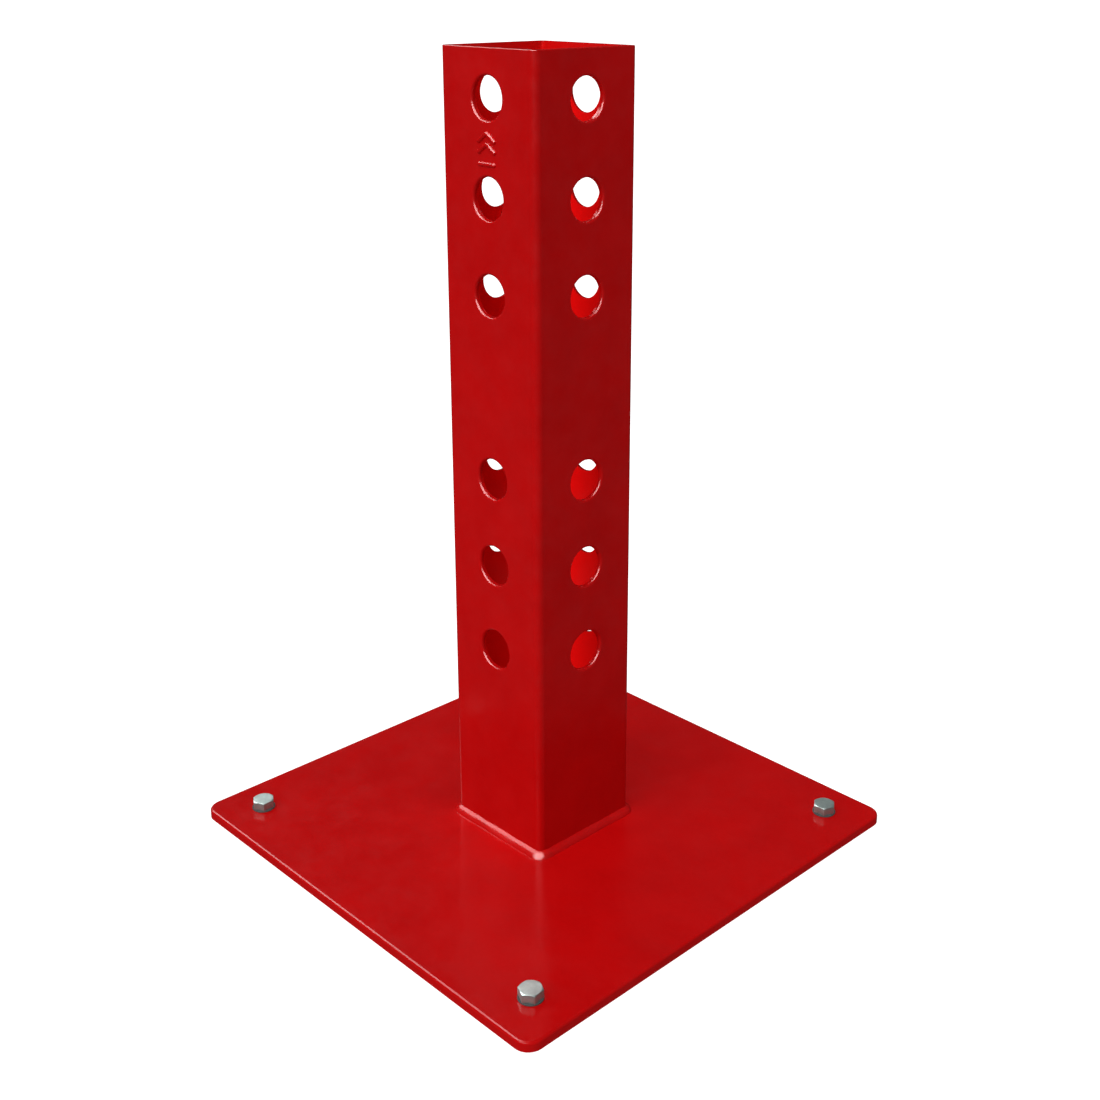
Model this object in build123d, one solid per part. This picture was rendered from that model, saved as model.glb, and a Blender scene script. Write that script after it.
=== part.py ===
from build123d import *
import os

# Signpost foot: a perforated square tube welded upright on a square base plate,
# which four hex-head sleeve anchors hold to the ground.
# Millimetres. The origin is the centre of the plate's underside, on the ground,
# with +Z up, the front on -Y and the right-hand side on +X.

# Base plate
plate_width = 320.0
plate_thickness = 6.0
plate_corner_radius = 10.0
plate_top_rounding = 1.6

# Post tube, a hot-finished square hollow section
post_width = 80.0
post_wall = 3.0
post_corner_radius = 4.5
post_length = 494.0
post_end_rounding = 0.6

# Cross holes, in the same rows on all four sides; the middle row is left out
cross_hole_diameter = 25.0
cross_hole_rim_rounding = 1.6
top_row_depth = 27.5  # below the post's top
row_pitch = 56.0
rows_in_group = 3
rows_left_out = 1

# Fillet weld around the post's foot
weld_leg = 4.2
weld_crown = 0.6

# Raised mark that shows which way up the post goes
mark_stroke_radius = 1.5
mark_half_width = 7.5
mark_chevron_rise = 5.0
mark_margin = 3.9  # from the rims of the holes above and below it

# Ground anchors, one near each corner of the plate
anchor_edge_distance = 28.0
bolt_diameter = 8.0
bolt_length = 60.0
bolt_tip_chamfer = 1.0
bolt_clearance = 0.2  # radial, inside the washer and the sleeve
head_across_flats = 13.0
head_height = 5.3
head_chamfer_drop = 0.6
head_chamfer_reach = 1.1  # inward from the corners of the hexagon
washer_thickness = 1.0
washer_overlap = 1.5  # all round, past the edge of the plate's hole
washer_edge_rounding = 0.3
sleeve_wall = 0.8
sleeve_length = 46.0
sleeve_slit_width = 1.5
sleeve_slit_length = 20.0
cone_length = 10.0
cone_taper_length = 6.0
cone_seat_width = 0.5  # of the narrow end, under the sleeve's wall
thread_clearance = 0.1  # radial, between a bolt and its cone nut
plate_hole_clearance = 1.0  # radial, between a sleeve and the plate

# Widths that follow from the sizes above
anchor_spacing = plate_width - 2 * anchor_edge_distance
bolt_passage_diameter = bolt_diameter + 2 * bolt_clearance
sleeve_diameter = bolt_passage_diameter + 2 * sleeve_wall
anchor_hole_diameter = sleeve_diameter + 2 * plate_hole_clearance
washer_diameter = anchor_hole_diameter + 2 * washer_overlap
cone_narrow_end_diameter = bolt_passage_diameter + 2 * cone_seat_width

# Heights above the ground
post_foot = plate_thickness
post_top = post_foot + post_length
washer_top = plate_thickness + washer_thickness
sleeve_bottom = plate_thickness - sleeve_length

# Each anchor's corner, and the angle that its head is left at when it is tight
anchor_corners = {
    "front_left": (-1, -1, 29.0),
    "front_right": (1, -1, -24.0),
    "back_right": (1, 1, 6.0),
    "back_left": (-1, 1, 17.0),
}


def row_heights():
    """Heights of the hole rows above the ground, counted down from the post's top."""
    group_step = rows_in_group + rows_left_out
    steps = [group * group_step + row for group in (0, 1) for row in range(rows_in_group)]
    return [post_top - top_row_depth - step * row_pitch for step in steps]


def base_plate():
    """Square plate with rounded corners and one anchor hole near each of them."""
    outline = RectangleRounded(plate_width, plate_width, plate_corner_radius)
    plate = extrude(outline, plate_thickness)
    top_edges = plate.faces().sort_by(Axis.Z)[-1].edges()
    plate = fillet(top_edges, plate_top_rounding)
    hole = Cylinder(anchor_hole_diameter / 2, 3 * plate_thickness)
    places = GridLocations(anchor_spacing, anchor_spacing, 2, 2)
    return plate - [place * hole for place in places]


def post_tube():
    """Square tube with rows of holes that run straight through both pairs of walls."""
    inner_width = post_width - 2 * post_wall
    section = RectangleRounded(post_width, post_width, post_corner_radius)
    section -= RectangleRounded(inner_width, inner_width, post_corner_radius - post_wall)
    tube = Pos(0, 0, post_foot) * extrude(section, post_length)
    rim = tube.faces().sort_by(Axis.Z)[-1].outer_wire().edges()
    tube = fillet(rim, post_end_rounding)

    drill = Cylinder(cross_hole_diameter / 2, 2 * post_width)
    for height in row_heights():
        tube -= Pos(0, 0, height) * Rot(90, 0, 0) * drill
        tube -= Pos(0, 0, height) * Rot(0, 90, 0) * drill

    circles = tube.edges().filter_by(GeomType.CIRCLE)
    holes = circles.filter_by(lambda edge: abs(edge.radius - cross_hole_diameter / 2) < 1e-3)
    outer = holes.filter_by(lambda edge: distance_from_axis(edge) > post_width / 2 - post_wall / 2)
    return fillet(outer, cross_hole_rim_rounding)


def distance_from_axis(edge):
    """How far the centre of a round edge lies from the post's axis."""
    centre = edge.arc_center
    return max(abs(centre.X), abs(centre.Y))


def weld_bead(quarter_turns):
    """Weld along one side of the post's foot and half-way round its two corners."""
    middle = weld_leg / 2 + weld_crown * 2**-0.5
    crown = ThreePointArc((weld_leg, 0), (middle, middle), (0, weld_leg))
    section = make_face([Line((0, 0), (weld_leg, 0)), crown, Line((0, weld_leg), (0, 0))])

    corner = post_width / 2 - post_corner_radius
    start = Plane(origin=(corner, -post_width / 2, post_foot), x_dir=(0, -1, 0), z_dir=(-1, 0, 0))
    bead = extrude(start * section, 2 * corner)
    right_end = revolve(start * section, Axis((corner, -corner, 0), (0, 0, 1)), 45)
    left_end = mirror(right_end, Plane.YZ)
    return Rot(0, 0, 90 * quarter_turns) * (bead + right_end + left_end)


def raised_stroke(start, end):
    """Half-round stroke with round ends, laid on the front face from (x, z) to (x, z)."""
    front = -post_width / 2
    points = [Vector(x, front, z) for x, z in (start, end)]
    length = (points[1] - points[0]).length
    rod = Solid.make_cylinder(mark_stroke_radius, length, Plane(points[0], z_dir=points[1] - points[0]))
    ends = [Pos(point) * Sphere(mark_stroke_radius) for point in points]
    return Part(rod.wrapped) + ends


def up_mark():
    """Two chevrons over a bar, between the two top rows of holes on the front face."""
    middle = sum(row_heights()[:2]) / 2
    height = row_pitch - cross_hole_diameter - 2 * (cross_hole_rim_rounding + mark_margin)
    line_spacing = (height - mark_chevron_rise) / 2 - mark_stroke_radius
    shapes = []
    for line in (1, 0):
        foot = middle + line * line_spacing - mark_chevron_rise / 2
        apex = (0, foot + mark_chevron_rise)
        legs = [raised_stroke((side * mark_half_width, foot), apex) for side in (-1, 1)]
        shapes.append(legs[0] + legs[1])
    bar = middle - line_spacing - mark_chevron_rise / 2
    shapes.append(raised_stroke((-mark_half_width, bar), (mark_half_width, bar)))

    reach = 4 * mark_half_width
    in_front = Pos(0, -post_width / 2 - reach / 2, middle) * Box(reach, reach, 2 * reach)
    return Compound(children=[(shape & in_front).solid() for shape in shapes])


def anchor_bolt(turn):
    """Hex-head bolt, its head on the washer and its thread drawn at full diameter."""
    flats = RegularPolygon(head_across_flats / 2, 6, major_radius=False, rotation=turn)
    blank = Pos(0, 0, washer_top) * extrude(flats, head_height)
    corner_radius = head_across_flats / 3**0.5
    turned = Pos(0, 0, washer_top + head_height / 2) * Cylinder(corner_radius, head_height)
    top_face = turned.faces().sort_by(Axis.Z)[-1]
    top_edge = top_face.edges()
    turned = chamfer(top_edge, head_chamfer_reach, head_chamfer_drop, reference=top_face)
    shank = Pos(0, 0, washer_top - bolt_length / 2) * Cylinder(bolt_diameter / 2, bolt_length)
    tip = shank.edges().filter_by(GeomType.CIRCLE).sort_by(Axis.Z)[0]
    return (blank & turned) + chamfer(tip, bolt_tip_chamfer)


def anchor_washer():
    """Flat washer between the plate and the bolt's head."""
    ring = Circle(washer_diameter / 2) - Circle(bolt_passage_diameter / 2)
    washer = Pos(0, 0, plate_thickness) * extrude(ring, washer_thickness)
    rim = washer.faces().sort_by(Axis.Z)[-1].outer_wire().edges()
    return fillet(rim, washer_edge_rounding)


def expansion_sleeve():
    """Tube around the bolt, slit twice across its lower end so that it can spread."""
    ring = Circle(sleeve_diameter / 2) - Circle(bolt_passage_diameter / 2)
    sleeve = Pos(0, 0, sleeve_bottom) * extrude(ring, sleeve_length)
    slit = Box(2 * sleeve_diameter, sleeve_slit_width, 2 * sleeve_slit_length)
    for angle in (0, 90):
        sleeve -= Pos(0, 0, sleeve_bottom) * Rot(0, 0, angle) * slit
    return sleeve


def cone_nut():
    """Nut at the foot of the sleeve, tapered so that it spreads the sleeve when drawn up."""
    straight_length = cone_length - cone_taper_length
    body = Pos(0, 0, sleeve_bottom - cone_length + straight_length / 2)
    body *= Cylinder(sleeve_diameter / 2, straight_length)
    taper = Pos(0, 0, sleeve_bottom - cone_taper_length / 2)
    taper *= Cone(sleeve_diameter / 2, cone_narrow_end_diameter / 2, cone_taper_length)
    bore = Cylinder(bolt_diameter / 2 + thread_clearance, 4 * cone_length)
    return body + taper - Pos(0, 0, sleeve_bottom) * bore


def all_nodes():
    """Every piece by its node's name."""
    nodes = {
        "base_plate": base_plate(),
        "post_tube": post_tube(),
        "up_mark": up_mark(),
    }
    for turns, side in enumerate(("front", "right", "back", "left")):
        nodes["weld_" + side] = weld_bead(turns)
    for corner, (x_side, y_side, head_turn) in anchor_corners.items():
        place = Pos(x_side * anchor_spacing / 2, y_side * anchor_spacing / 2, 0)
        nodes["anchor_bolt_" + corner] = place * anchor_bolt(head_turn)
        nodes["anchor_washer_" + corner] = place * anchor_washer()
        nodes["expansion_sleeve_" + corner] = place * expansion_sleeve()
        nodes["cone_nut_" + corner] = place * cone_nut()
    return nodes


os.makedirs("parts", exist_ok=True)
for node, piece in all_nodes().items():
    export_step(piece, "parts/" + node + ".step")
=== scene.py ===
import math

import bmesh
import bpy
import numpy as np
from bpy.props import FloatProperty, FloatVectorProperty, PointerProperty
from mathutils import Matrix, Vector


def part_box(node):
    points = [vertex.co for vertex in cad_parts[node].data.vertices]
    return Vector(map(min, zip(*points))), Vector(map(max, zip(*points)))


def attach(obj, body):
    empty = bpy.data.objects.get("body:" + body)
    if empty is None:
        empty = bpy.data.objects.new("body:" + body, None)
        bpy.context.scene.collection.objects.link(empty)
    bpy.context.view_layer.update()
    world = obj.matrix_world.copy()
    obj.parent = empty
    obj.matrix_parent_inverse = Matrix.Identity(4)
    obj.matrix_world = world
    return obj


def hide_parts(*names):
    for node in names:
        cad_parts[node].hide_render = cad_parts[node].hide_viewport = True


bl_info = {
    "name": "Signpost foot",
    "version": (1, 0, 0),
    "blender": (4, 5, 0),
    "location": "3D View > Sidebar > Signpost",
    "description": "Finishes for a perforated post welded to an anchored base plate",
    "category": "Object",
}

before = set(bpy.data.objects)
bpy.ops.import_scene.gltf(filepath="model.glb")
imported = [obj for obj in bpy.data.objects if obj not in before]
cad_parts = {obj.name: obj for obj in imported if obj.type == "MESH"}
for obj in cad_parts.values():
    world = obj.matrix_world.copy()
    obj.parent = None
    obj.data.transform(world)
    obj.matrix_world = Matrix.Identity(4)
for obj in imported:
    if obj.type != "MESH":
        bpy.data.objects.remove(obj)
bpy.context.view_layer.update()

SIDES = ("front", "right", "back", "left")
CORNERS = ("front_left", "front_right", "back_right", "back_left")
MM = 0.001
# How far the hidden side of a laid-on piece lies inside the steel that carries it.
SUNK = 0.2 * MM
# Seeds of the first bead's and the first stroke's unevenness. The others count on from them.
BEAD_SEED = 11
STROKE_SEED = 31


# ---------------------------------------------------------------- settings


class PowderCoatSettings(bpy.types.PropertyGroup):
    colour: FloatVectorProperty(
        name="Colour", description="Red of the powder coat", subtype="COLOR",
        size=3, min=0, max=1, default=(0.45, 0.0018, 0.0022))
    deep_colour: FloatVectorProperty(
        name="Deep colour", description="Red where the coat is thicker", subtype="COLOR",
        size=3, min=0, max=1, default=(0.4, 0.0014, 0.0018))
    # The inside colour is painted light: a brighter red that stands in for light on the post's inner
    # walls, seen through the holes.
    painted_light_inside_colour: FloatVectorProperty(
        name="Inside colour", description="Brighter red inside the post, where the coat is thin",
        subtype="COLOR", size=3, min=0, max=1, default=(0.6, 0.003, 0.003))
    roughness: FloatProperty(
        name="Roughness", description="How matt the coat is", subtype="FACTOR",
        min=0, max=1, default=0.19)
    gloss: FloatProperty(
        name="Gloss", description="How strongly the coat reflects", subtype="FACTOR",
        min=0, max=1, default=0.17)
    peel_size: FloatProperty(
        name="Orange peel size", description="Distance from one bump of the coat to the next",
        unit="LENGTH", subtype="DISTANCE", min=0.0002, default=1.6 * MM)
    peel_depth: FloatProperty(
        name="Orange peel depth", description="Height of the coat's bumps",
        unit="LENGTH", subtype="DISTANCE", min=0, default=0.006 * MM)


class WeldSettings(bpy.types.PropertyGroup):
    crown: FloatProperty(
        name="Crown", description="How far the bead swells past a flat fillet",
        unit="LENGTH", subtype="DISTANCE", min=0, default=0.6 * MM)
    ripple_pitch: FloatProperty(
        name="Ripple pitch", description="Distance from one ripple to the next",
        unit="LENGTH", subtype="DISTANCE", min=0.0005, default=2.6 * MM)
    ripple_height: FloatProperty(
        name="Ripple height", description="Height of a ripple in the middle of the bead",
        unit="LENGTH", subtype="DISTANCE", min=0, default=0.08 * MM)
    wander: FloatProperty(
        name="Wander", description="Share by which the bead's size drifts along its length",
        subtype="FACTOR", min=0, max=0.2, default=0.045)
    post_corner_radius: FloatProperty(
        name="Post corner radius", description="Radius of the tube's corners, which the bead follows",
        unit="LENGTH", subtype="DISTANCE", min=0, default=4.5 * MM)


class MarkSettings(bpy.types.PropertyGroup):
    stroke_radius: FloatProperty(
        name="Stroke radius", description="Half the width of a raised stroke",
        unit="LENGTH", subtype="DISTANCE", min=0.0001, default=1.5 * MM)
    chevron_rise: FloatProperty(
        name="Chevron rise", description="How far a chevron's point stands above its ends",
        unit="LENGTH", subtype="DISTANCE", min=0, default=5 * MM)
    tip_rounding: FloatProperty(
        name="Tip rounding", description="How softly a chevron turns at its point",
        unit="LENGTH", subtype="DISTANCE", min=0.0001, default=1.1 * MM)
    unevenness: FloatProperty(
        name="Unevenness", description="Share by which a stroke's width varies",
        subtype="FACTOR", min=0, max=0.3, default=0.08)


class AnchorSettings(bpy.types.PropertyGroup):
    head_across_flats: FloatProperty(
        name="Head across flats", description="Width of the hexagon between opposite flats",
        unit="LENGTH", subtype="DISTANCE", min=0.001, default=13 * MM)
    head_height: FloatProperty(
        name="Head height", description="Height of the hexagon above the washer",
        unit="LENGTH", subtype="DISTANCE", min=0.001, default=5.3 * MM)
    chamfer_reach: FloatProperty(
        name="Chamfer reach", description="Chamfer's width, inward from the hexagon's corners",
        unit="LENGTH", subtype="DISTANCE", min=0, default=1.1 * MM)
    chamfer_drop: FloatProperty(
        name="Chamfer drop", description="Chamfer's height at the hexagon's corners",
        unit="LENGTH", subtype="DISTANCE", min=0, default=0.6 * MM)
    shank_diameter: FloatProperty(
        name="Shank diameter", description="Diameter of the bolt's shank and thread",
        unit="LENGTH", subtype="DISTANCE", min=0.001, default=8 * MM)
    thread_pitch: FloatProperty(
        name="Thread pitch", description="Rise of the thread in one turn",
        unit="LENGTH", subtype="DISTANCE", min=0.0002, default=1.25 * MM)
    thread_length: FloatProperty(
        name="Thread length", description="Length of the threaded end",
        unit="LENGTH", subtype="DISTANCE", min=0.001, default=22 * MM)
    thread_depth: FloatProperty(
        name="Thread depth", description="Depth of the thread's groove",
        unit="LENGTH", subtype="DISTANCE", min=0, default=0.7 * MM)
    bright_zinc: FloatVectorProperty(
        name="Bright zinc", description="Colour of the plated bolts",
        subtype="COLOR", size=3, min=0, max=1, default=(0.4, 0.48, 0.46))
    # Washer zinc: real dull zinc, darkened nearly to black as painted shade in the gap under the bolt
    # heads.
    painted_shade_zinc: FloatVectorProperty(
        name="Dull zinc", description="Colour of the plated washers",
        subtype="COLOR", size=3, min=0, max=1, default=(0.09, 0.1, 0.1))
    yellow_zinc: FloatVectorProperty(
        name="Yellow zinc", description="Colour of the passivated sleeves and cone nuts",
        subtype="COLOR", size=3, min=0, max=1, default=(0.62, 0.52, 0.27))


class StageSettings(bpy.types.PropertyGroup):
    floor_colour: FloatVectorProperty(
        name="Floor colour", description="Colour of the floor", subtype="COLOR",
        size=3, min=0, max=1, default=(0.97, 0.97, 0.97))
    floor_glow: FloatProperty(
        name="Floor glow", description="Light of the lit floor itself, which softens shadows on it",
        min=0, default=0.35)
    studio_level: FloatProperty(
        name="Studio level", description="Brightness of the light from all round",
        min=0, default=0.52)
    reflected_share: FloatProperty(
        name="Reflected share", description="Share of the studio's light that glossy finishes mirror",
        subtype="FACTOR", min=0, max=1, default=0.06)
    key_level: FloatProperty(
        name="Key level", description="Brightness of the key light", min=0, default=0.5)
    fill_level: FloatProperty(
        name="Fill level", description="Brightness of the shadowless fill from the key's side",
        min=0, default=1.9)
    key_spread: FloatProperty(
        name="Key spread", description="How wide the key light and the fill look from the object",
        unit="ROTATION", subtype="ANGLE", min=0, default=math.radians(50))
    key_direction: FloatVectorProperty(
        name="Key direction", description="From the object towards the key light and the fill",
        subtype="DIRECTION", size=3, default=(0.1, -0.7, 0.7))
    front_glint_level: FloatProperty(
        name="Front glint level", description="Brightness of the front softbox, which only shows as gloss",
        min=0, default=29.0)
    front_glint_spread: FloatProperty(
        name="Front glint spread", description="How wide the front softbox looks from the object",
        unit="ROTATION", subtype="ANGLE", min=0, default=math.radians(78))
    front_glint_direction: FloatVectorProperty(
        name="Front glint direction", description="From the object towards the front softbox",
        subtype="DIRECTION", size=3, default=(0.25, -0.6, 0.74))
    left_glint_level: FloatProperty(
        name="Left glint level", description="Brightness of the left softbox, which only shows as gloss",
        min=0, default=5.0)
    left_glint_spread: FloatProperty(
        name="Left glint spread", description="How wide the left softbox looks from the object",
        unit="ROTATION", subtype="ANGLE", min=0, default=math.radians(44))
    left_glint_direction: FloatVectorProperty(
        name="Left glint direction", description="From the object towards the left softbox",
        subtype="DIRECTION", size=3, default=(-0.6, -0.1, 0.75))
    inner_level: FloatProperty(
        name="Inner level", description="Power of the strip light inside the post, in watts",
        min=0, default=0.032)
    camera_place: FloatVectorProperty(
        name="Camera place", description="Where the camera stands", unit="LENGTH",
        subtype="XYZ", size=3, default=(0.62702, -0.57891, 0.54082))
    camera_heading: FloatProperty(
        name="Camera heading", description="Turn of the view from +X towards +Y",
        unit="ROTATION", subtype="ANGLE", default=math.radians(135.5986))
    camera_dip: FloatProperty(
        name="Camera dip", description="How far the view points below the horizon",
        unit="ROTATION", subtype="ANGLE", default=math.radians(17.1559))
    camera_roll: FloatProperty(
        name="Camera roll", description="Lean of the camera to its right",
        unit="ROTATION", subtype="ANGLE", default=math.radians(0.1483))
    camera_lens: FloatProperty(
        name="Lens", description="Focal length in millimetres", min=1, default=47.755)
    camera_shift: FloatVectorProperty(
        name="Lens shift", description="Sideways and upward shift of the lens, as shares of the frame",
        size=2, default=(-0.0291, -0.1182))


SETTINGS = {
    "signpost_coat": PowderCoatSettings,
    "signpost_weld": WeldSettings,
    "signpost_mark": MarkSettings,
    "signpost_anchor": AnchorSettings,
    "signpost_stage": StageSettings,
}


# ---------------------------------------------------------------- meshes


def add_piece(name, points, faces, material, sharp_angle, axis_distance=None):
    """Object from points (n, 3) and a list of faces, riding on the part's one body. Edges that
    turn by more than the sharp angle, in degrees, stay sharp. A turned piece also keeps each
    point's distance from its axis, which its material reads."""
    mesh = bpy.data.meshes.new(name)
    mesh.from_pydata(points, [], faces)
    shell = bmesh.new()
    shell.from_mesh(mesh)
    bmesh.ops.recalc_face_normals(shell, faces=shell.faces)
    shell.to_mesh(mesh)
    shell.free()
    mesh.polygons.foreach_set("use_smooth", np.ones(len(mesh.polygons), bool))
    mesh.set_sharp_from_angle(angle=math.radians(sharp_angle))
    if axis_distance is not None:
        layer = mesh.attributes.new("axis_distance", "FLOAT", "POINT")
        layer.data.foreach_set("value", axis_distance.astype(np.float32))
    mesh.materials.append(material)
    piece = bpy.data.objects.new(name, mesh)
    bpy.context.scene.collection.objects.link(piece)
    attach(piece, "root")
    return piece


def ring_faces(rows, around, closed_rows=False):
    """Faces of a grid whose rows are closed rings. Face (i, j) joins points j and j + 1 of rings i
    and i + 1, and either one polygon closes each end or the last ring joins the first."""
    index = np.arange(rows * around).reshape(rows, around)
    near = index if closed_rows else index[:-1]
    far = np.roll(index, -1, 0) if closed_rows else index[1:]
    quads = np.stack([near, np.roll(near, -1, 1), np.roll(far, -1, 1), far], -1)
    faces = quads.reshape(-1, 4).tolist()
    if not closed_rows:
        faces += [index[0][::-1].tolist(), index[-1].tolist()]
    return faces


def side_path(half_width, corner_radius, step):
    """Points and outward directions along one side of the post's outline, on the front (-Y).
    Each is a function of the length s: straight along the flat, and past either end of it an
    eighth of a turn round the corner, where the direction turns by s over the radius."""
    flat = half_width - corner_radius
    reach = flat + corner_radius * math.pi / 4
    s = np.linspace(-reach, reach, int(2 * reach / step) + 1)
    turn = np.sign(s) * np.clip(np.abs(s) - flat, 0, None) / corner_radius
    outward = np.stack([np.sin(turn), -np.cos(turn)], -1)
    centre = np.stack([np.clip(s, -flat, flat), np.full_like(s, -flat)], -1)
    return s, centre + corner_radius * outward, outward


def slow_wave(s, seed, longest):
    """Drift between about -1 and 1 along a length s: three sines of falling size, whose
    wavelengths are the longest one and its 0.43 and 0.19, with seeded phases."""
    phases = np.random.default_rng(seed).uniform(0, 2 * math.pi, 3)
    waves = [size * np.sin(2 * math.pi * s / (longest * share) + phase)
             for size, share, phase in zip((0.55, 0.3, 0.15), (1, 0.43, 0.19), phases)]
    return sum(waves)


def weld_bead(seed, settings):
    """Fillet bead along the front of the post's foot, in the corner between tube and plate.
    The surface is a function of the length s and of v from 0 (toe on the plate) to 1 (toe on
    the tube): the straight line between the toes, bowed outward by the crown times sin(pi v),
    all scaled by a slow drift of s, plus ripples. A ripple is |sin(pi p)|, less its mean, of
    the phase p = s / pitch - 0.55 (2 v - 1)^2, so it is a crescent, and it fades at both toes.
    The toes and one more row, under the bead, lie just inside the steel."""
    step = 0.3 * MM
    crescent = 0.55
    mean_ripple = 0.64
    phase_drift = 0.12
    phase_seed = seed + 50
    plate_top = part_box("base_plate")[1].z
    half_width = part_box("post_tube")[1].x
    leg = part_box("weld_front")[1].z - plate_top

    s, path, outward = side_path(half_width, settings.post_corner_radius, step)
    v = np.linspace(0, 1, 15)
    s_grid, v_grid = np.meshgrid(s, v, indexing="ij")
    fade = np.sin(math.pi * v_grid)
    phase = s_grid / settings.ripple_pitch - crescent * (2 * v_grid - 1) ** 2
    phase += phase_drift * slow_wave(s_grid, phase_seed, longest=9 * MM)
    ripple = settings.ripple_height * (np.abs(np.sin(math.pi * phase)) - mean_ripple) * fade
    size = 1 - settings.wander + settings.wander * slow_wave(s_grid, seed, longest=30 * MM)
    bow = (settings.crown * fade + ripple) / math.sqrt(2)
    across = leg * size * (1 - v_grid) + bow
    upward = leg * size * v_grid + bow
    across[:, -1] = -SUNK
    upward[:, 0] = -SUNK
    under = np.full((len(s), 1), -SUNK)
    across = np.concatenate([across, under], 1)
    upward = np.concatenate([upward, under], 1)
    points = np.empty(across.shape + (3,))
    points[..., :2] = path[:, None] + outward[:, None] * across[..., None]
    points[..., 2] = plate_top + upward
    return points


def revolved(profile_r, profile_z, centre, angles):
    """Points of a turned shape, and their distances from its axis. Profile point i at angle t
    is at centre + (r_i cos t, r_i sin t) and height z_i. Either may also vary with the angle."""
    r = np.broadcast_to(np.asarray(profile_r, float).reshape(len(profile_r), -1),
                        (len(profile_r), len(angles)))
    z = np.broadcast_to(np.asarray(profile_z, float).reshape(len(profile_z), -1), r.shape)
    x = centre[0] + r * np.cos(angles)
    y = centre[1] + r * np.sin(angles)
    return np.stack([x, y, z], -1), r


def node_points(node):
    """Every vertex of a CAD node, as an array of rows."""
    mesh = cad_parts[node].data
    flat = np.empty(len(mesh.vertices) * 3)
    mesh.vertices.foreach_get("co", flat)
    return flat.reshape(-1, 3)


def head_turn(node, centre, seat):
    """Angle of one corner of a bolt's hexagon, from the CAD node's outermost point above the
    height of its seat."""
    points = node_points(node)
    points = points[points[:, 2] > seat]
    offsets = points[:, :2] - centre
    farthest = offsets[np.argmax(np.hypot(offsets[:, 0], offsets[:, 1]))]
    return math.atan2(farthest[1], farthest[0])


def head_rings(in_flat, seat, settings):
    """(radius, height) of each ring of a hex head, from its top to its seat. The radius is
    apothem / cos(a), with a the angle from the middle of the nearest flat, and no more than
    0.985 of the corner radius, so the corners are slightly blunt. The chamfer's height falls
    in line with that radius, which gives each flat its arc. The edges are softened."""
    soft = 0.12 * MM
    blunt_share = 0.985
    top = seat + settings.head_height
    apothem = settings.head_across_flats / 2
    corner_radius = apothem / math.cos(math.pi / 6)
    flat_top = corner_radius - settings.chamfer_reach
    hexagon = np.tile(np.minimum(apothem / np.cos(in_flat), blunt_share * corner_radius), 6)
    slope = settings.chamfer_drop / settings.chamfer_reach
    chamfer_end = top - (hexagon - flat_top) * slope
    return [
        (0.5 * flat_top, top),
        (flat_top - 2 * soft, top),
        (flat_top, top - 0.1 * soft),
        (hexagon - soft, chamfer_end + soft * slope),
        (hexagon - 0.3 * soft, chamfer_end - 0.3 * soft),
        (hexagon, chamfer_end - soft),
        (hexagon, seat + 3 * soft),
        (hexagon - 0.5 * soft, seat + soft),
        (hexagon - 2 * soft, seat),
    ]


def thread_rings(angles, tip, settings):
    """(radius, height) of each ring of the thread, from its upper end to the tip's rim. The
    radius is that of the shank less depth times a groove of the phase z / pitch - t / (2 pi),
    so the groove climbs one pitch in a turn. It runs out over the upper two turns, and the
    radius is no more than that of the tip's chamfer."""
    rings_in_pitch = 8
    groove_slope = 1.3
    crest_share = 0.15
    run_out_turns = 2
    tip_chamfer = 1.0 * MM
    rim = 0.05 * MM
    shank = settings.shank_diameter / 2
    upper_end = tip + settings.thread_length
    rings = int(settings.thread_length / settings.thread_pitch * rings_in_pitch)
    z = np.linspace(upper_end, tip + rim, rings)[:, None]
    phase = z / settings.thread_pitch - angles / (2 * math.pi)
    groove = np.clip(groove_slope * np.abs(2 * (phase % 1) - 1) - crest_share, 0, 1)
    run_out = np.clip((upper_end - z) / (run_out_turns * settings.thread_pitch), 0, 1)
    chamfered = np.minimum(shank, shank - tip_chamfer + (z - tip))
    grooved = shank - settings.thread_depth * run_out * groove
    return [*zip(np.minimum(chamfered, grooved), z), (shank - tip_chamfer - rim, tip)]


def bolt_surface(corner, settings):
    """Hex-head bolt as rings round its axis: from the middle of the head's top down the head,
    the plain shank and the thread to the middle of the tip. Six flats share one list of
    angles, which are closer together towards the hexagon's corners."""
    hub = 0.5 * MM
    washer_low, washer_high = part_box("anchor_washer_" + corner)
    centre = np.array(((washer_low + washer_high) / 2)[:2])
    seat = washer_high.z
    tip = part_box("anchor_bolt_" + corner)[0].z
    shank = settings.shank_diameter / 2
    plain_end = tip + settings.thread_length + MM

    in_flat = np.radians([-30, -28.5, -27, -22, -15, -8, 0, 8, 15, 22, 27, 28.5])
    start = head_turn("anchor_bolt_" + corner, centre, seat) + math.pi / 6
    angles = (start + np.arange(6)[:, None] * math.pi / 3 + in_flat).ravel()
    rings = [
        (hub, seat + settings.head_height),
        *head_rings(in_flat, seat, settings),
        (shank, seat),
        (shank, plain_end),
        *thread_rings(angles, tip, settings),
        (hub, tip),
    ]
    r, z = (np.array([np.broadcast_to(ring[part], angles.shape) for ring in rings])
            for part in (0, 1))
    return revolved(r, z, centre, angles)


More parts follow.
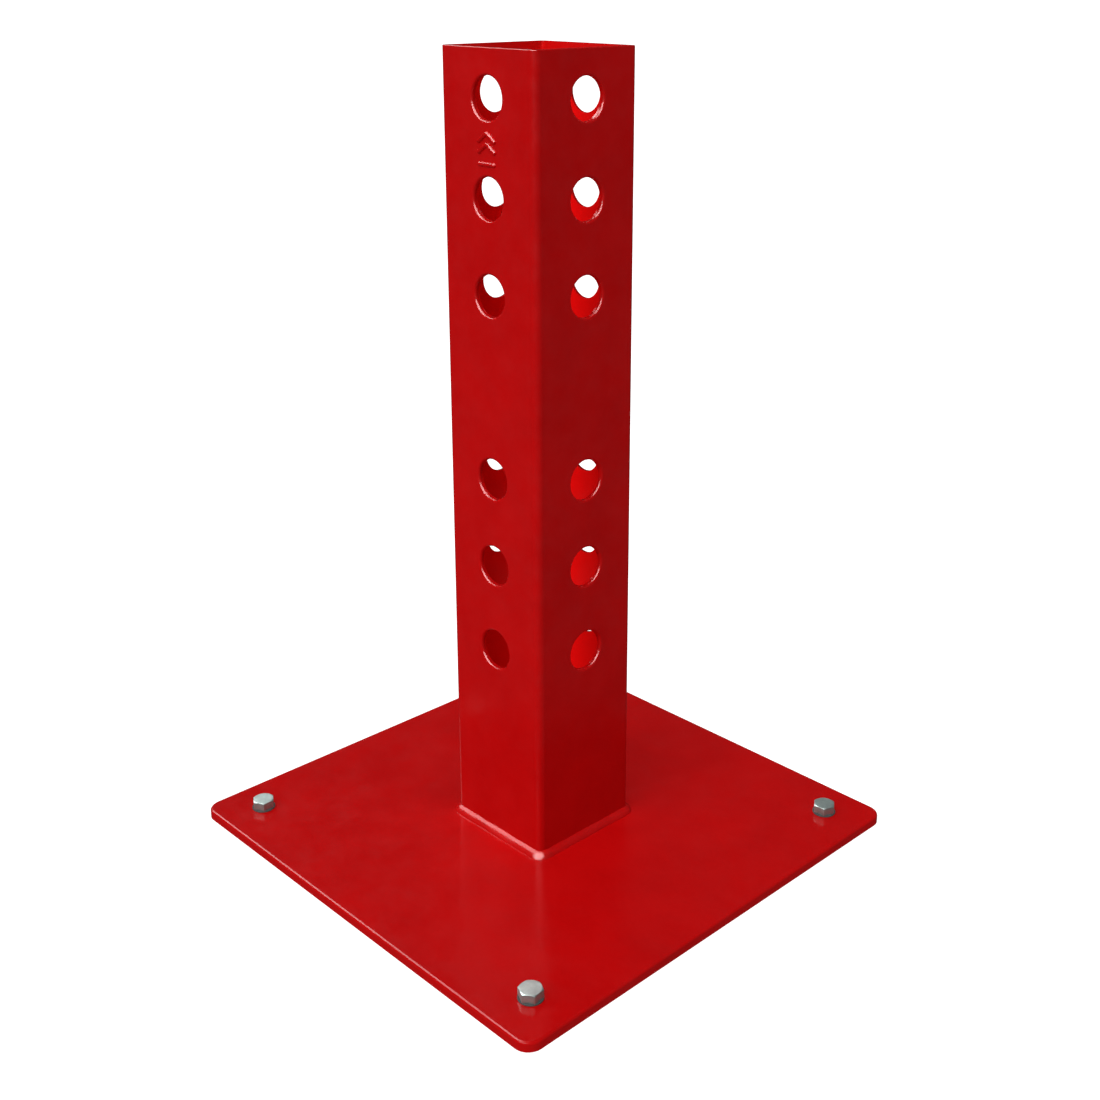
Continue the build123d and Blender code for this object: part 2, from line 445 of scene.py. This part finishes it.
def washer_surface(corner):
    """Flat washer as rings: its section is a rectangle whose four corners are quarter circles,
    wider on top outside, where it was stamped through, and the section is turned round. Its
    bore is the sleeve's, so its radius is the sleeve's less the sleeve's wall."""
    sleeve_wall = 0.8 * MM
    stamped_rounding = 0.38 * MM
    bore_rounding = 0.2 * MM
    lower_rounding = 0.12 * MM
    low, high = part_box("anchor_washer_" + corner)
    centre = np.array(((low + high) / 2)[:2])
    outer = (high.x - low.x) / 2
    sleeve_low, sleeve_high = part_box("expansion_sleeve_" + corner)
    inner = (sleeve_high.x - sleeve_low.x) / 2 - sleeve_wall

    quarter = np.linspace(0, math.pi / 2, 5)
    section = []
    for number, (r, side_r, z, side_z, rounding) in enumerate((
        (outer, 1, high.z, 1, stamped_rounding),
        (inner, -1, high.z, 1, bore_rounding),
        (inner, -1, low.z, -1, lower_rounding),
        (outer, 1, low.z, -1, lower_rounding),
    )):
        turn = quarter + number * math.pi / 2
        section.append(np.stack([r - side_r * rounding + rounding * np.cos(turn),
                                 z - side_z * rounding + rounding * np.sin(turn)], -1))
    section = np.concatenate(section)
    angles = np.linspace(0, 2 * math.pi, 72, endpoint=False)
    return revolved(section[:, 0], section[:, 1], centre, angles)


def mark_lines(low, high, settings):
    """Middle lines of the up mark's strokes, inside its box: sideways places, and for the bar
    and the two chevrons, from the bottom up, the heights there. With h(x) the square root of
    x squared plus the tip rounding squared, a chevron falls from its point by its rise times
    (h(x) - h(0)) / (h(end) - h(0)), so its arms are straight and its point is round."""
    radius = settings.stroke_radius
    softness = settings.tip_rounding
    half = (high.x - low.x) / 2 - radius
    x = np.linspace(-half, half, 91)
    share = (np.sqrt(x**2 + softness**2) - softness) / (np.sqrt(half**2 + softness**2) - softness)
    chevron = settings.chevron_rise * (1 - share)
    bar = low.z + radius
    spacing = (high.z - radius - settings.chevron_rise - bar) / 2
    return x, [np.full_like(x, bar), bar + spacing + chevron, bar + 2 * spacing + chevron]


def stroke_surface(line_x, line_z, front, settings, seed):
    """Raised stroke along a line in the front face. Its half-width is the stroke radius, less at
    the ends so that they are half circles, times a slow drift, which mostly narrows it. Across
    it, angle w from 0 to pi goes over the top, at height radius times sin(w), and the rest lies
    just inside the wall."""
    narrowing = 0.6
    open_end = 0.004
    along = np.stack([np.gradient(line_x), np.gradient(line_z)], -1)
    along /= np.linalg.norm(along, axis=1)[:, None]
    length = np.concatenate([[0], np.cumsum(np.hypot(np.diff(line_x), np.diff(line_z)))])
    radius = settings.stroke_radius
    to_end = np.minimum(length, length[-1] - length)
    round_end = np.sqrt(np.clip(1 - (1 - np.clip(to_end / radius, open_end, 1)) ** 2, 0, 1))
    drift = 1 + settings.unevenness * (slow_wave(length, seed, longest=6 * MM) - narrowing)
    half_width = (radius * round_end * drift)[:, None]
    w = np.linspace(0, math.pi, 13)
    over = np.concatenate([np.cos(w), [-1, 1]])
    height = np.concatenate([np.sin(w), [0, 0]])
    sunk = np.concatenate([np.zeros_like(w), [SUNK, SUNK]])
    x = line_x[:, None] - along[:, 1:] * half_width * over
    z = line_z[:, None] + along[:, :1] * half_width * over
    y = front - half_width * height + sunk
    return np.stack([x, np.broadcast_to(y, x.shape), z], -1)


# ---------------------------------------------------------------- materials


WHITE = (1, 1, 1, 1)


def darker(colour, share):
    """Colour with that share of its brightness."""
    return tuple(share * level for level in colour)


class Nodes:
    """A new material's node tree, with short calls to add and join nodes."""

    def __init__(self, name):
        self.material = bpy.data.materials.new(name)
        self.material.use_nodes = True
        self.tree = self.material.node_tree
        self.shader = self.tree.nodes["Principled BSDF"]

    def add(self, kind, links=None, **values):
        """Node of a kind. values set its settings or input sockets, links join its inputs."""
        node = self.tree.nodes.new("ShaderNode" + kind)
        for key, value in values.items():
            if hasattr(node, key):
                setattr(node, key, value)
            else:
                node.inputs[key.replace("_", " ")].default_value = value
        for key, output in (links or {}).items():
            self.tree.links.new(output, node.inputs[key])
        return node

    def place(self):
        """Object coordinates, in metres."""
        return self.add("TexCoord").outputs["Object"]

    def noise(self, place, size, detail=2.0, roughness=0.5):
        """Noise whose bumps are that far apart."""
        return self.add("TexNoise", {"Vector": place}, Scale=1 / size, Detail=detail,
                        Roughness=roughness).outputs["Fac"]

    def ramp(self, factor, low, high):
        """Colour or grey that runs from one (position, value) pair of a factor to another."""
        node = self.add("ValToRGB", {"Fac": factor})
        for element, (position, value) in zip(node.color_ramp.elements, (low, high)):
            element.position = position
            element.color = (*value, 1) if hasattr(value, "__len__") else (value, value, value, 1)
        return node.outputs["Color"]

    def math(self, operation, first, second=None):
        """Result of a maths operation on outputs or numbers."""
        node = self.add("Math", operation=operation)
        for number, value in enumerate((first, second)):
            if isinstance(value, bpy.types.NodeSocket):
                self.tree.links.new(value, node.inputs[number])
            elif value is not None:
                node.inputs[number].default_value = value
        return node.outputs[0]

    def bump(self, height, depth, before=None):
        """Bump of that depth in metres, on top of an earlier one."""
        links = {"Height": height}
        if before is not None:
            links["Normal"] = before
        return self.add("Bump", links, Strength=1.0, Distance=depth).outputs["Normal"]

    def wire(self, **links):
        """Joins outputs to the shader's inputs."""
        for key, output in links.items():
            self.tree.links.new(output, self.shader.inputs[key.replace("_", " ")])


def paint_light_inside(made, place, colour, half_width, painted_light_inside_colour):
    """The colour, but the inside colour where a face is nearer than the half width to the
    post's axis. That brighter red is painted light on the post's inner walls."""
    across = made.add("SeparateXYZ", {"Vector": place}).outputs
    reach = made.math("MAXIMUM", made.math("ABSOLUTE", across["X"]),
                      made.math("ABSOLUTE", across["Y"]))
    # A Mix node takes its two colours at sockets 6 and 7, and gives the mixed one at 2.
    mix = made.add("Mix", data_type="RGBA")
    made.tree.links.new(made.math("LESS_THAN", reach, half_width), mix.inputs["Factor"])
    made.tree.links.new(colour, mix.inputs[6])
    mix.inputs[7].default_value = (*painted_light_inside_colour, 1)
    return mix.outputs[2]


def powder_coat(name, settings, peel=1.0, inner_half_width=None):
    """Red polyester powder coat: orange peel in two sizes, a slightly deeper red in broad
    patches where the coat is thicker, and a gloss that varies a little. A small piece has a
    share of the peel. The post's faces inside the inner half width have the inside colour,
    a brighter red that paints light on the post's inner walls."""
    patch_size = 45 * MM
    speck_size = 2.2 * MM
    speck_share = 0.35
    gloss_patch_size = 12 * MM
    wave_size = 9 * MM
    wave_depth = 0.01 * MM
    made = Nodes(name)
    place = made.place()
    patches = made.noise(place, patch_size, detail=3.0, roughness=0.6)
    specks = made.math("MULTIPLY", made.noise(place, speck_size), speck_share)
    colour = made.ramp(made.math("ADD", patches, specks),
                       (0.45, tuple(settings.deep_colour)), (0.82, tuple(settings.colour)))
    if inner_half_width:
        colour = paint_light_inside(made, place, colour, inner_half_width, settings.painted_light_inside_colour)
    gloss = made.ramp(made.noise(place, gloss_patch_size, detail=3.0, roughness=0.6),
                      (0.3, settings.roughness - 0.04), (0.7, settings.roughness + 0.05))
    peel_noise = made.noise(place, settings.peel_size, roughness=0.45)
    peel_bump = made.bump(peel_noise, settings.peel_depth * peel)
    wave_noise = made.noise(place, wave_size, detail=1.0, roughness=0.4)
    wave_bump = made.bump(wave_noise, wave_depth * peel, peel_bump)
    made.wire(Base_Color=colour, Roughness=gloss, Normal=wave_bump)
    made.shader.inputs["Specular IOR Level"].default_value = settings.gloss
    return made.material


def zinc_plate(name, colour, shade, roughness, metallic, turned=False):
    """Electroplated zinc: a cloudy colour, a roughness that varies in small patches and fine
    pitting. A turned piece has fine rings about its axis too, a sine of the mesh's own
    distance from that axis."""
    cloud_size = 5 * MM
    rub_size = 1.6 * MM
    pit_size = 0.5 * MM
    pit_depth = 0.003 * MM
    ring_pitch = 0.28 * MM
    ring_depth = 0.004 * MM
    made = Nodes(name)
    place = made.place()
    clouds = made.noise(place, cloud_size, detail=4.0, roughness=0.62)
    tint = made.ramp(clouds, (0.3, shade), (0.72, colour))
    rough = made.ramp(made.noise(place, rub_size, detail=3.0, roughness=0.6),
                      (0.3, roughness - 0.06), (0.75, roughness + 0.12))
    normal = made.bump(made.noise(place, pit_size), pit_depth)
    if turned:
        distance = made.add("Attribute", attribute_name="axis_distance").outputs["Fac"]
        rings = made.math("SINE", made.math("MULTIPLY", distance, 2 * math.pi / ring_pitch))
        normal = made.bump(rings, ring_depth, normal)
    made.wire(Base_Color=tint, Roughness=rough, Normal=normal)
    made.shader.inputs["Metallic"].default_value = metallic
    made.shader.inputs["Specular IOR Level"].default_value = 0.2
    return made.material


def floor_paint(settings):
    """Matt pale floor with a broad faint mottle and a glow of its own."""
    mottle_size = 0.6
    made = Nodes("pale_floor")
    pale = tuple(settings.floor_colour)
    mottle = made.noise(made.place(), mottle_size)
    made.wire(Base_Color=made.ramp(mottle, (0.3, darker(pale, 0.985)), (0.7, pale)))
    made.shader.inputs["Emission Color"].default_value = WHITE
    made.shader.inputs["Emission Strength"].default_value = settings.floor_glow
    made.shader.inputs["Roughness"].default_value = 0.9
    made.shader.inputs["Specular IOR Level"].default_value = 0.1
    return made.material


def coat_cad_node(node, material):
    """Gives a CAD node a material in place of each one that it came with."""
    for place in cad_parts[node].material_slots:
        place.material = material


# ---------------------------------------------------------------- operators


class SIGNPOST_OT_coat_steelwork(bpy.types.Operator):
    """Powder-coat the base plate and the post tube"""

    bl_idname = "signpost.coat_steelwork"
    bl_label = "Coat plate and post"

    def execute(self, context):
        settings = context.scene.signpost_coat
        coat_cad_node("base_plate", powder_coat("red_powder_coat_on_plate", settings))
        most_of_wall = 2.7 * MM
        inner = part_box("post_tube")[1].x - most_of_wall
        # The post's faces inside its walls get a brighter red: painted light on the inner walls seen
        # through the holes.
        post_coat = powder_coat("red_powder_coat_on_post", settings, inner_half_width=inner)
        coat_cad_node("post_tube", post_coat)
        return {"FINISHED"}


class SIGNPOST_OT_weld_foot(bpy.types.Operator):
    """Lay a rippled fillet bead along each side of the post's foot"""

    bl_idname = "signpost.weld_foot"
    bl_label = "Weld the post's foot"

    def execute(self, context):
        coat = powder_coat("red_powder_coat_on_weld", context.scene.signpost_coat, peel=0.6)
        for turns, side in enumerate(SIDES):
            points = weld_bead(BEAD_SEED + turns, context.scene.signpost_weld)
            turn = np.array(Matrix.Rotation(turns * math.pi / 2, 3, "Z"))
            rows, around = points.shape[:2]
            bead = add_piece("weld_bead_" + side, points.reshape(-1, 3) @ turn.T,
                             ring_faces(rows, around), coat, 50)
            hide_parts("weld_" + side)
        return {"FINISHED"}


class SIGNPOST_OT_raise_mark(bpy.types.Operator):
    """Lay the raised strokes that show which way up the post goes"""

    bl_idname = "signpost.raise_mark"
    bl_label = "Raise the up mark"

    def execute(self, context):
        settings = context.scene.signpost_mark
        coat = powder_coat("red_powder_coat_on_mark", context.scene.signpost_coat, peel=0.5)
        low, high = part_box("up_mark")
        front = high.y
        line_x, lines = mark_lines(low, high, settings)
        points, faces = [], []
        for number, line_z in enumerate(lines):
            stroke = stroke_surface(line_x, line_z, front, settings, STROKE_SEED + number)
            rows, around = stroke.shape[:2]
            start = number * rows * around
            faces += [[start + i for i in face] for face in ring_faces(rows, around)]
            points.append(stroke.reshape(-1, 3))
        mark = add_piece("up_mark_strokes", np.concatenate(points), faces, coat, 60)
        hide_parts("up_mark")
        return {"FINISHED"}


class SIGNPOST_OT_drive_bolts(bpy.types.Operator):
    """Put a threaded hex-head bolt in each of the four anchors"""

    bl_idname = "signpost.drive_bolts"
    bl_label = "Drive the bolts"

    def execute(self, context):
        settings = context.scene.signpost_anchor
        colour = tuple(settings.bright_zinc)
        zinc = zinc_plate("bright_zinc_on_bolt", colour, darker(colour, 0.72),
                          roughness=0.4, metallic=0.8, turned=True)
        for corner in CORNERS:
            points, r = bolt_surface(corner, settings)
            rows, around = points.shape[:2]
            bolt = add_piece("hex_bolt_" + corner, points.reshape(-1, 3), ring_faces(rows, around),
                             zinc, 28, r.ravel())
            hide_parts("anchor_bolt_" + corner)
        return {"FINISHED"}


class SIGNPOST_OT_lay_washers(bpy.types.Operator):
    """Lay a stamped washer under each bolt's head"""

    bl_idname = "signpost.lay_washers"
    bl_label = "Lay the washers"

    def execute(self, context):
        # The washers' near-black colour is painted shade under the bolt heads, on dull zinc.
        colour = tuple(context.scene.signpost_anchor.painted_shade_zinc)
        zinc = zinc_plate("dull_zinc_on_washer", colour, darker(colour, 0.66),
                          roughness=0.6, metallic=0.15, turned=True)
        for corner in CORNERS:
            points, r = washer_surface(corner)
            rows, around = points.shape[:2]
            washer = add_piece("flat_washer_" + corner, points.reshape(-1, 3),
                               ring_faces(rows, around, closed_rows=True), zinc,
                               40, r.ravel())
            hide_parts("anchor_washer_" + corner)
        return {"FINISHED"}


class SIGNPOST_OT_plate_sleeves(bpy.types.Operator):
    """Give the expansion sleeves and the cone nuts their passivated zinc"""

    bl_idname = "signpost.plate_sleeves"
    bl_label = "Plate sleeves and cone nuts"

    def execute(self, context):
        red, green, blue = context.scene.signpost_anchor.yellow_zinc
        browner = (0.8 * red, 0.62 * green, 0.7 * blue)
        zinc = zinc_plate("yellow_zinc_on_sleeve", (red, green, blue), browner,
                          roughness=0.34, metallic=0.7)
        for corner in CORNERS:
            coat_cad_node("expansion_sleeve_" + corner, zinc)
            coat_cad_node("cone_nut_" + corner, zinc)
        return {"FINISHED"}


def lay_floor(settings):
    """Wide floor just under the plate's underside. It throws no light on the part and isn't
    mirrored in it."""
    half_width = 60.0
    height = -0.2 * MM
    mesh = bpy.data.meshes.new("floor")
    mesh.from_pydata([(-half_width, -half_width, height), (half_width, -half_width, height),
                      (half_width, half_width, height), (-half_width, half_width, height)],
                     [], [(0, 1, 2, 3)])
    floor = bpy.data.objects.new("floor", mesh)
    bpy.context.scene.collection.objects.link(floor)
    floor.visible_diffuse = False
    floor.visible_glossy = False
    mesh.materials.append(floor_paint(settings))


def light_studio(settings):
    """Even light from all round, of which glossy finishes mirror a share, and a white backdrop
    behind it for the camera."""
    world = bpy.data.worlds.new("studio")
    world.use_nodes = True
    tree = world.node_tree
    rays = tree.nodes.new("ShaderNodeLightPath")

    def even_light(node, level):
        """White light of that level."""
        node.inputs["Color"].default_value = WHITE
        node.inputs["Strength"].default_value = level
        return node.outputs[0]

    def choose(ray, light, other_light):
        """The other light for one kind of ray, and the first for the rest."""
        mix = tree.nodes.new("ShaderNodeMixShader")
        for number, output in enumerate((rays.outputs[ray], light, other_light)):
            tree.links.new(output, mix.inputs[number])
        return mix.outputs[0]

    level = settings.studio_level
    full = even_light(tree.nodes["Background"], level)
    mirrored = even_light(tree.nodes.new("ShaderNodeBackground"), level * settings.reflected_share)
    backdrop = even_light(tree.nodes.new("ShaderNodeBackground"), 1.0)
    surface = choose("Is Camera Ray", choose("Is Glossy Ray", full, mirrored), backdrop)
    tree.links.new(surface, tree.nodes["World Output"].inputs["Surface"])
    bpy.context.scene.world = world


def add_sun(name, level, spread, direction):
    """Light from far away that looks as wide as the spread from the object."""
    light = bpy.data.lights.new(name, "SUN")
    light.energy = level
    light.angle = spread
    sun = bpy.data.objects.new(name, light)
    sun.rotation_mode = "QUATERNION"
    sun.rotation_quaternion = Vector(direction).to_track_quat("Z", "Y")
    bpy.context.scene.collection.objects.link(sun)
    return sun


def show_only_as_gloss(sun, pieces):
    """Lets a sun show only as gloss, and only on the named pieces."""
    sun.visible_diffuse = False
    lit = bpy.data.collections.new(sun.name + "_pieces")
    for piece in pieces:
        lit.objects.link(bpy.data.objects[piece])
    sun.light_linking.receiver_collection = lit


def hang_suns(settings):
    """Key light, a shadowless fill from its side, and two softboxes that only show as gloss."""
    add_sun("key_light", settings.key_level, settings.key_spread, settings.key_direction)
    fill = add_sun("fill_light", settings.fill_level, settings.key_spread, settings.key_direction)
    fill.data.use_shadow = False
    front = add_sun("front_glint_light", settings.front_glint_level,
                    settings.front_glint_spread, settings.front_glint_direction)
    left = add_sun("left_glint_light", settings.left_glint_level,
                   settings.left_glint_spread, settings.left_glint_direction)
    upright = ["post_tube", "up_mark_strokes", *("weld_bead_" + side for side in SIDES)]
    flat = ["base_plate", *("hex_bolt_" + corner for corner in CORNERS)]
    show_only_as_gloss(front, upright)
    show_only_as_gloss(left, upright + flat)


def add_inner_strip(power):
    """Narrow light up the inside of the post's front wall, beside the holes, facing the back
    wall, so that what is seen of the inside through the holes isn't dark."""
    width = 8 * MM
    length_share = 0.9
    beside_holes = -20 * MM
    behind_front = 4 * MM
    low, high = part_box("post_tube")
    light = bpy.data.lights.new("inner_strip_light", "AREA")
    light.energy = power
    light.shape = "RECTANGLE"
    light.size = width
    light.size_y = length_share * (high.z - low.z)
    light.spread = math.radians(60)
    strip = bpy.data.objects.new("inner_strip_light", light)
    strip.location = (beside_holes, low.y + behind_front, (low.z + high.z) / 2)
    strip.rotation_euler = (math.pi / 2, 0, 0)
    strip.visible_camera = False
    strip.visible_glossy = False
    bpy.context.scene.collection.objects.link(strip)


def stand_camera(settings):
    """Camera at its place. Its view runs along its heading, dipped below the horizon, and it
    leans to its right by the roll."""
    data = bpy.data.cameras.new("camera")
    data.sensor_width = 36
    data.sensor_fit = "HORIZONTAL"
    data.lens = settings.camera_lens
    data.shift_x, data.shift_y = settings.camera_shift
    dip, heading, roll = settings.camera_dip, settings.camera_heading, settings.camera_roll
    ahead = Vector((math.cos(dip) * math.cos(heading), math.cos(dip) * math.sin(heading),
                    -math.sin(dip)))
    right = ahead.cross(Vector((0, 0, 1))).normalized()
    up = right.cross(ahead)
    c, s = math.cos(roll), math.sin(roll)
    right, up = c * right + s * up, c * up - s * right
    turn = Matrix((right, up, -ahead)).transposed().to_4x4()
    camera = bpy.data.objects.new("camera", data)
    camera.matrix_world = Matrix.Translation(settings.camera_place) @ turn
    bpy.context.scene.collection.objects.link(camera)
    bpy.context.scene.camera = camera


class SIGNPOST_OT_set_stage(bpy.types.Operator):
    """Set out the floor, the studio light and the camera"""

    bl_idname = "signpost.set_stage"
    bl_label = "Set the stage"

    def execute(self, context):
        settings = context.scene.signpost_stage
        context.scene.view_settings.view_transform = "Standard"
        context.scene.view_settings.look = "None"
        lay_floor(settings)
        light_studio(settings)
        hang_suns(settings)
        add_inner_strip(settings.inner_level)
        stand_camera(settings)
        return {"FINISHED"}


OPERATORS = (
    SIGNPOST_OT_coat_steelwork,
    SIGNPOST_OT_weld_foot,
    SIGNPOST_OT_raise_mark,
    SIGNPOST_OT_drive_bolts,
    SIGNPOST_OT_lay_washers,
    SIGNPOST_OT_plate_sleeves,
    SIGNPOST_OT_set_stage,
)


class SIGNPOST_PT_pieces(bpy.types.Panel):
    """The steps that finish the signpost foot, with their sizes and colours"""

    bl_idname = "SIGNPOST_PT_pieces"
    bl_label = "Signpost foot"
    bl_space_type = "VIEW_3D"
    bl_region_type = "UI"
    bl_category = "Signpost"

    def draw(self, context):
        for operator in OPERATORS:
            self.layout.operator(operator.bl_idname)
        for name, group in SETTINGS.items():
            box = self.layout.box()
            for field in group.__annotations__:
                box.prop(getattr(context.scene, name), field)


CLASSES = (*SETTINGS.values(), *OPERATORS, SIGNPOST_PT_pieces)


def register():
    for item in CLASSES:
        bpy.utils.register_class(item)
    for name, group in SETTINGS.items():
        setattr(bpy.types.Scene, name, PointerProperty(type=group))


def unregister():
    for name in SETTINGS:
        delattr(bpy.types.Scene, name)
    for item in reversed(CLASSES):
        bpy.utils.unregister_class(item)


def main():
    register()
    for operator in OPERATORS:
        group, name = operator.bl_idname.split(".")
        getattr(getattr(bpy.ops, group), name)()


if __name__ == "__main__":
    main()
